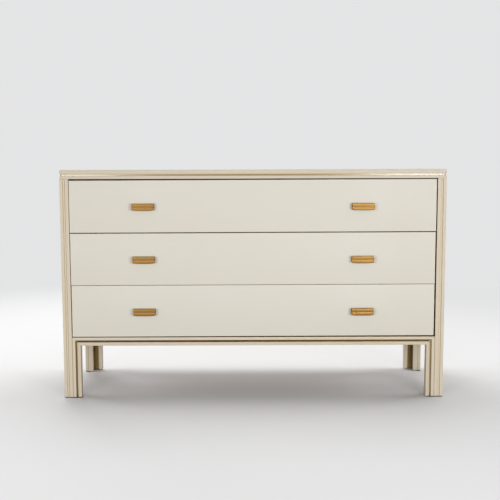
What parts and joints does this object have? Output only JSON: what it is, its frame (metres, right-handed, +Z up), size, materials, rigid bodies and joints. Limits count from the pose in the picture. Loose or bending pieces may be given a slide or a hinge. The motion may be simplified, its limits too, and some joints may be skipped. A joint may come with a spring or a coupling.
{
  "type": "lowboy chest of drawers",
  "caption": "Low chest of drawers in cream lacquer: reeded corner posts, grooved mouldings round open legs, flush drawers with brass lip pulls that slide on side runners.",
  "frame": {"origin": "on the floor, under the middle of the overall box from the faces of the pulls to the back of the case", "axes": "+X along the width to the right as seen from the front, +Y from the front to the back, +Z up"},
  "size_m": [1.22, 0.4754, 0.7315],
  "materials": {
    "frame_lacquer": "satin cream lacquer on wood",
    "front_lacquer": "satin off-white lacquer on wood",
    "pull_brass": "dark aged brass, satin",
    "drawer_wood": "clear-finished pale wood",
    "runner_wood": "waxed hardwood",
    "back_board": "raw brown hardboard",
    "glide_nylon": "dark nylon"
  },
  "bodies": {
    "carcass": {"top_panel": "frame_lacquer", "front_left_post": "frame_lacquer", "front_right_post": "frame_lacquer", "rear_left_post": "frame_lacquer", "rear_right_post": "frame_lacquer", "front_apron": "frame_lacquer", "rear_apron": "frame_lacquer", "left_apron": "frame_lacquer", "right_apron": "frame_lacquer", "front_left_leg_front_lining": "frame_lacquer", "front_left_leg_side_lining": "frame_lacquer", "front_right_leg_front_lining": "frame_lacquer", "front_right_leg_side_lining": "frame_lacquer", "rear_left_leg_rear_lining": "frame_lacquer", "rear_left_leg_side_lining": "frame_lacquer", "rear_right_leg_rear_lining": "frame_lacquer", "rear_right_leg_side_lining": "frame_lacquer", "left_side_panel": "frame_lacquer", "right_side_panel": "frame_lacquer", "back_panel": "back_board", "bottom_panel": "drawer_wood", "front_top_rail": "drawer_wood", "rear_top_rail": "drawer_wood", "front_left_glide": "glide_nylon", "front_right_glide": "glide_nylon", "rear_left_glide": "glide_nylon", "rear_right_glide": "glide_nylon", "bottom_drawer_left_runner": "runner_wood", "bottom_drawer_right_runner": "runner_wood", "middle_drawer_left_runner": "runner_wood", "middle_drawer_right_runner": "runner_wood", "top_drawer_left_runner": "runner_wood", "top_drawer_right_runner": "runner_wood"},
    "bottom_drawer": {"bottom_drawer_front": "front_lacquer", "bottom_drawer_left_side": "drawer_wood", "bottom_drawer_right_side": "drawer_wood", "bottom_drawer_back": "drawer_wood", "bottom_drawer_bottom": "drawer_wood", "bottom_drawer_left_pull": "pull_brass", "bottom_drawer_right_pull": "pull_brass"},
    "middle_drawer": {"middle_drawer_front": "front_lacquer", "middle_drawer_left_side": "drawer_wood", "middle_drawer_right_side": "drawer_wood", "middle_drawer_back": "drawer_wood", "middle_drawer_bottom": "drawer_wood", "middle_drawer_left_pull": "pull_brass", "middle_drawer_right_pull": "pull_brass"},
    "top_drawer": {"top_drawer_front": "front_lacquer", "top_drawer_left_side": "drawer_wood", "top_drawer_right_side": "drawer_wood", "top_drawer_back": "drawer_wood", "top_drawer_bottom": "drawer_wood", "top_drawer_left_pull": "pull_brass", "top_drawer_right_pull": "pull_brass"}
  },
  "joints": [
    {"name": "bottom_drawer_slide", "type": "slide", "parent": "carcass", "child": "bottom_drawer", "axis": [0, -1, 0], "range_m": [0, 0.3]},
    {"name": "middle_drawer_slide", "type": "slide", "parent": "carcass", "child": "middle_drawer", "axis": [0, -1, 0], "range_m": [0, 0.3]},
    {"name": "top_drawer_slide", "type": "slide", "parent": "carcass", "child": "top_drawer", "axis": [0, -1, 0], "range_m": [0, 0.3]}
  ]
}
